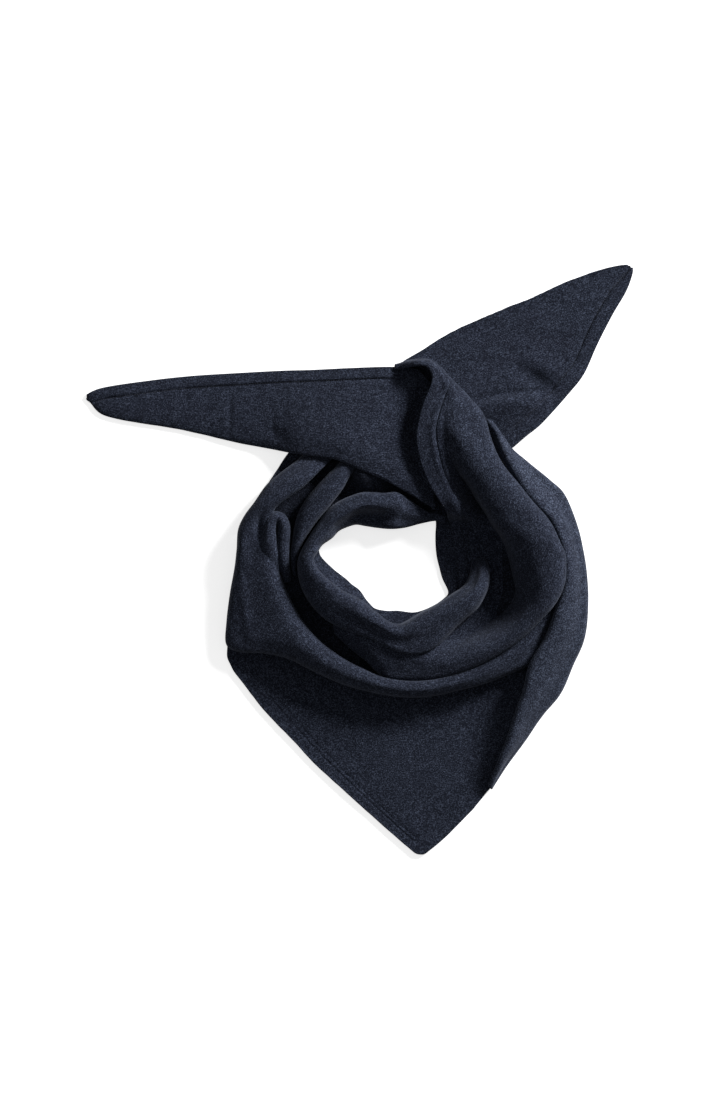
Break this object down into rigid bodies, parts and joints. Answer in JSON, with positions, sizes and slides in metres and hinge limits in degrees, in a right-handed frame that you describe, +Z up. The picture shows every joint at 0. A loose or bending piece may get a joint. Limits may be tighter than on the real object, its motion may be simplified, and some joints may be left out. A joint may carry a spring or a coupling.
{
  "type": "knitted triangle scarf",
  "caption": "Triangular knitted scarf laid down as a wound neck ring, its two tapering tails crossed at the top and its point lying flat below.",
  "frame": {"origin": "middle of the scarf's outline, on the surface it lies on", "axes": "+Z up, +Y towards the crossing of the tails, -Y towards the point of the triangle, +X to the right as seen from above"},
  "size_m": [0.5736, 0.6196, 0.0465],
  "materials": {
    "knit": "dark navy melange, fulled fine wool knit, matt with a soft nap",
    "thread": "matt navy sewing thread of the hem"
  },
  "bodies": {
    "root": {"collar": "knit", "neck_edge": "knit", "band": "knit", "front_fold": "knit", "second_strand": "knit", "hook_fold": "knit", "left_tail": "knit", "right_tail": "knit", "right_flap": "knit", "front_panel": "knit", "hidden_layers": "knit"}
  },
  "joints": []
}
